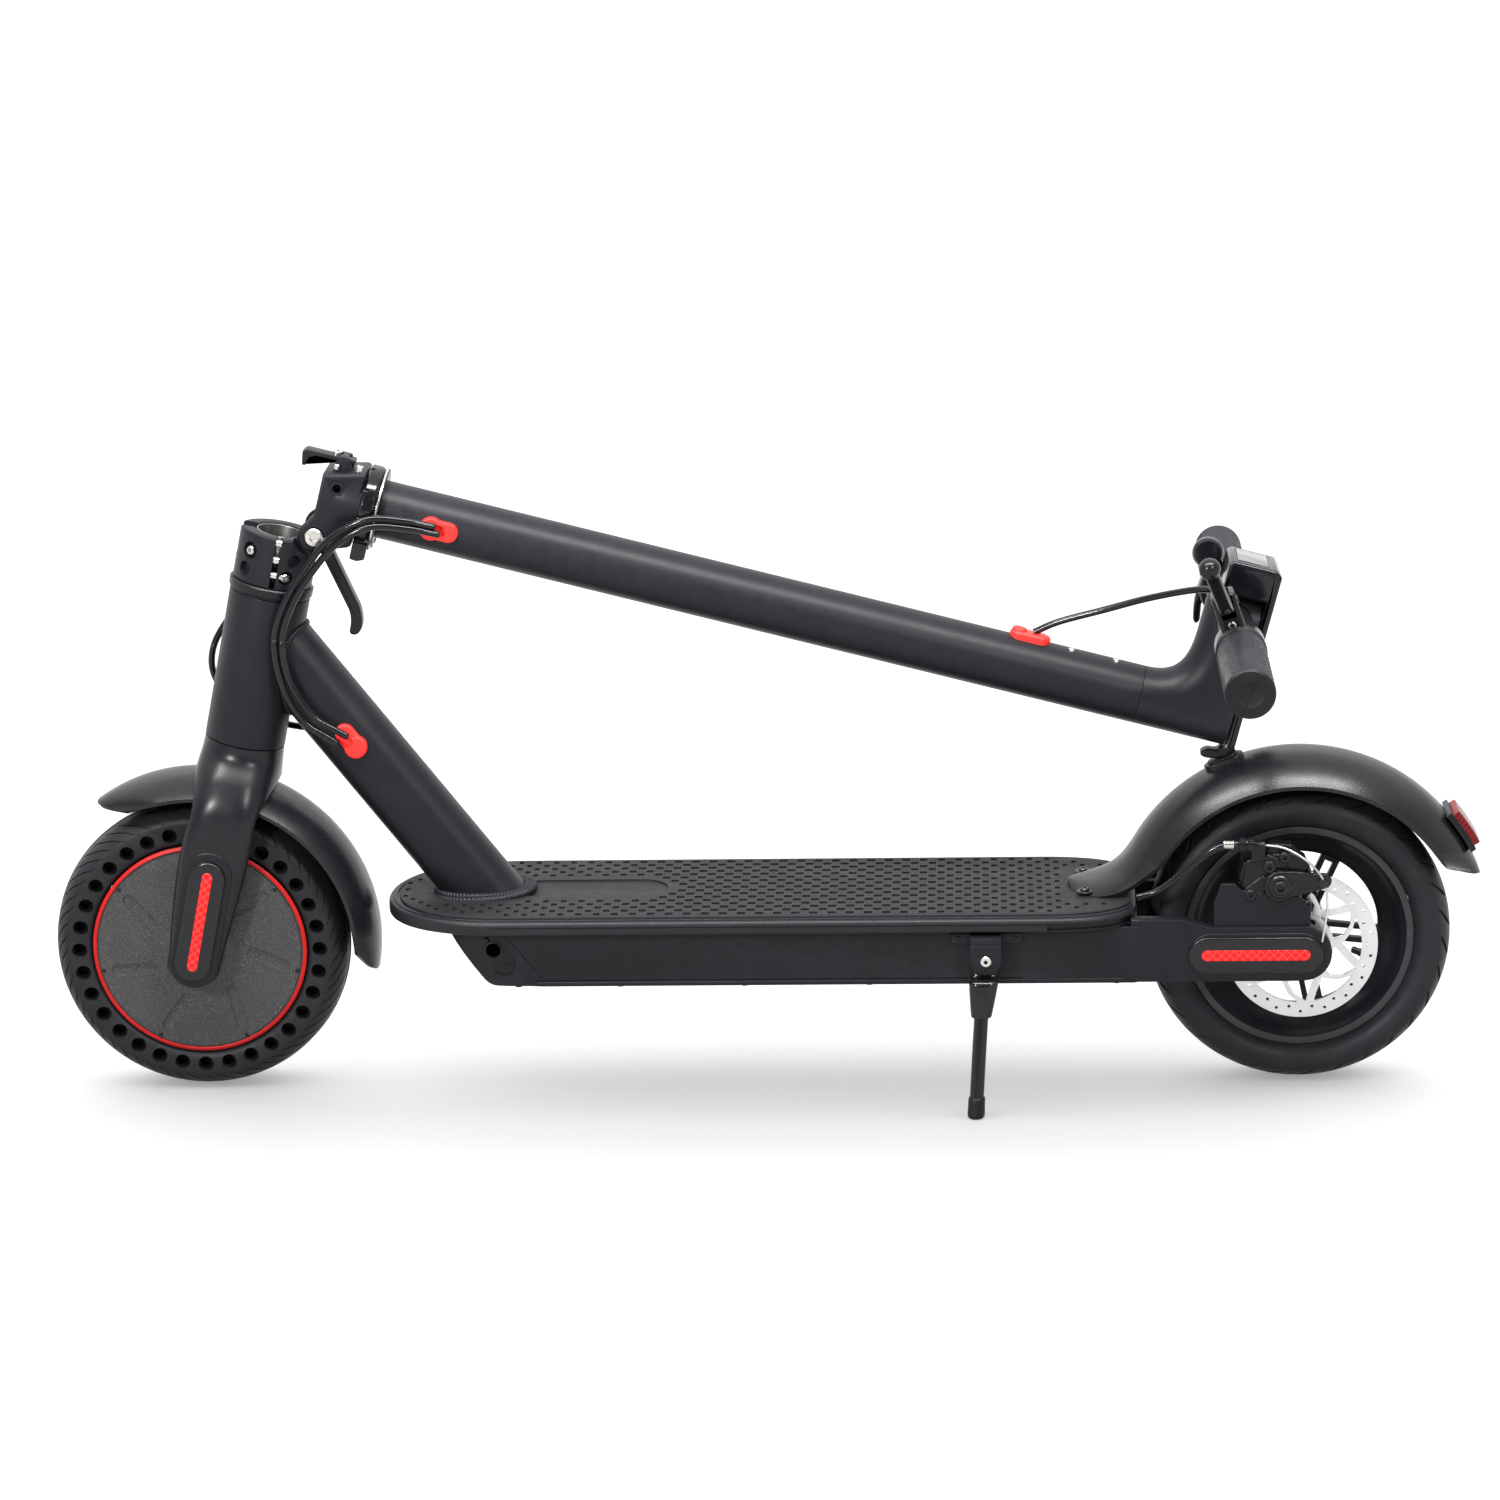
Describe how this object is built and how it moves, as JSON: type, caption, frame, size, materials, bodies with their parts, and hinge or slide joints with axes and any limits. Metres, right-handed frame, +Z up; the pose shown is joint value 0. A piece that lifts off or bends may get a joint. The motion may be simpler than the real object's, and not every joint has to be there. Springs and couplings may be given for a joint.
{
  "type": "electric kick scooter",
  "caption": "Folding electric kick scooter, folded flat on its kickstand, with hub motor, foot deck, mudguards, disc brake, brake lever, thumb throttle and folding stem.",
  "frame": {"origin": "centre of the folded scooter's box at floor level", "axes": "+X rearwards, -Y the left side, where the kickstand is, +Z up"},
  "size_m": [1.0408, 0.424, 0.477],
  "materials": {
    "black_paint": "satin black powder coat",
    "hub_grey": "charcoal speckled textured paint",
    "black_alloy": "semi-gloss black coated aluminium",
    "black_plastic": "satin moulded plastic",
    "gloss_plastic": "gloss black plastic",
    "grip_rubber": "matte soft rubber with fine dots",
    "mat_rubber": "matte rubber with raised studs",
    "tyre": "matte black tyre rubber",
    "red_rubber": "bright red moulded rubber",
    "red_lens": "dark red translucent lens",
    "steel": "bright machined steel",
    "copper": "wound motor core",
    "cell_wrap": "shrink-wrapped battery pack"
  },
  "bodies": {
    "frame": {"deck_tray": "black_paint", "deck_plate": "black_paint", "foot_mat": "mat_rubber", "bottom_cover": "black_plastic", "battery_pack": "cell_wrap", "controller_box": "hub_grey", "head_tube": "black_paint", "bearing_lower": "steel", "bearing_upper": "steel", "down_tube": "black_paint", "frame_grommet_left": "red_rubber", "frame_grommet_right": "red_rubber", "rear_arm_left": "black_paint", "rear_arm_right": "black_paint", "rear_axle": "steel", "rear_fender": "black_plastic", "tail_light": "red_lens", "caliper_body": "black_alloy", "kickstand_bracket": "black_paint", "rear_brake_cable": "gloss_plastic", "brake_cable": "gloss_plastic", "dash_lead": "gloss_plastic", "throttle_lead": "gloss_plastic"},
    "steerer": {"fork": "black_paint", "front_axle": "steel", "motor_stator": "copper", "front_fender": "black_plastic", "headset_cap": "black_plastic", "fold_base": "black_paint"},
    "front_wheel": {"front_tyre": "tyre", "motor_shell": "hub_grey", "motor_cover_left": "hub_grey", "motor_cover_right": "hub_grey"},
    "rear_wheel": {"rear_tyre": "tyre", "rear_rim": "black_paint", "brake_disc": "steel"},
    "stem": {"fold_bracket": "black_paint", "pivot_bolt": "steel", "stem_tube": "black_paint", "stem_head": "black_paint", "stem_grommet_left": "red_rubber", "stem_grommet_right": "red_rubber", "stem_grommet_top": "red_rubber", "handlebar": "black_paint", "grip_left": "grip_rubber", "grip_right": "grip_rubber", "dash_cover": "gloss_plastic", "brake_lever_bracket": "black_alloy", "throttle_housing": "black_plastic", "bell": "gloss_plastic", "brake_lever_cable": "gloss_plastic"},
    "fold_lever": {"fold_lever": "black_alloy"},
    "safety_hook": {"safety_hook": "black_alloy"},
    "lock_ring": {"lock_ring": "gloss_plastic"},
    "power_button": {"power_button": "black_plastic"},
    "brake_lever": {"brake_lever": "black_alloy"},
    "throttle_paddle": {"throttle_paddle": "gloss_plastic"},
    "latch_knob": {"latch_knob": "black_plastic"},
    "caliper_arm": {"caliper_arm": "black_alloy"},
    "kickstand_leg": {"kickstand_leg": "black_paint"}
  },
  "joints": [
    {"name": "steering", "type": "hinge", "parent": "frame", "child": "steerer", "pos_m": [-0.40794, 0, 0.10702], "axis": [0.212, 0, 0.9773], "range_deg": [-50, 50]},
    {"name": "front_wheel_spin", "type": "hinge", "parent": "steerer", "child": "front_wheel", "pos_m": [-0.41244, 0, 0.108], "axis": [0, 1, 0], "continuous": true},
    {"name": "rear_wheel_spin", "type": "hinge", "parent": "frame", "child": "rear_wheel", "pos_m": [0.38856, 0, 0.11], "axis": [0, 1, 0], "continuous": true},
    {"name": "stem_fold", "type": "hinge", "parent": "steerer", "child": "stem", "pos_m": [-0.31388, 0, 0.41611], "axis": [0, -1, 0], "range_deg": [0, 92.5], "deforming": ["brake_cable", "dash_lead", "throttle_lead"]},
    {"name": "fold_lever_swing", "type": "hinge", "parent": "stem", "child": "fold_lever", "pos_m": [-0.31388, 0, 0.41611], "axis": [0, -1, 0], "range_deg": [0, 50]},
    {"name": "safety_hook_tilt", "type": "hinge", "parent": "stem", "child": "safety_hook", "pos_m": [-0.29197, 0, 0.46772], "axis": [0, 1, 0], "range_deg": [0, 18], "stiffness_Nm_per_rad": 0.1, "springref_deg": -8.59},
    {"name": "lock_ring_turn", "type": "hinge", "parent": "stem", "child": "lock_ring", "pos_m": [-0.27571, 0, 0.43333], "axis": [0.9668, 0, -0.2554], "range_deg": [0, 10]},
    {"name": "brake_lever_pull", "type": "hinge", "parent": "stem", "child": "brake_lever", "pos_m": [0.32975, -0.088, 0.37732], "axis": [0.95, 0, 0.3123], "range_deg": [0, 18], "stiffness_Nm_per_rad": 2, "springref_deg": -5.73},
    {"name": "throttle_turn", "type": "hinge", "parent": "stem", "child": "throttle_paddle", "pos_m": [0.34037, 0.093, 0.34502], "axis": [0, 1, 0], "range_deg": [0, 25], "stiffness_Nm_per_rad": 0.1, "springref_deg": -17.19},
    {"name": "power_button_press", "type": "slide", "parent": "stem", "child": "power_button", "axis": [-0.9668, 0, 0.2554], "range_m": [0, 0.0012], "stiffness_N_per_m": 500, "springref_m": -0.0005},
    {"name": "kickstand_fold", "type": "hinge", "parent": "frame", "child": "kickstand_leg", "pos_m": [0.16156, -0.071, 0.1135], "axis": [0, -1, 0], "range_deg": [0, 85]},
    {"name": "latch_knob_turn", "type": "hinge", "parent": "frame", "child": "latch_knob", "pos_m": [0.33606, 0, 0.24], "axis": [0, 0, 1], "range_deg": [0, 90]},
    {"name": "caliper_arm_pull", "type": "hinge", "parent": "frame", "child": "caliper_arm", "pos_m": [0.36996, -0.058, 0.16], "axis": [0, -1, 0], "range_deg": [0, 20.5]}
  ],
  "couplings": [
    {"joint": "caliper_arm_pull", "follows": "brake_lever_pull", "ratio": 1.1111}
  ]
}
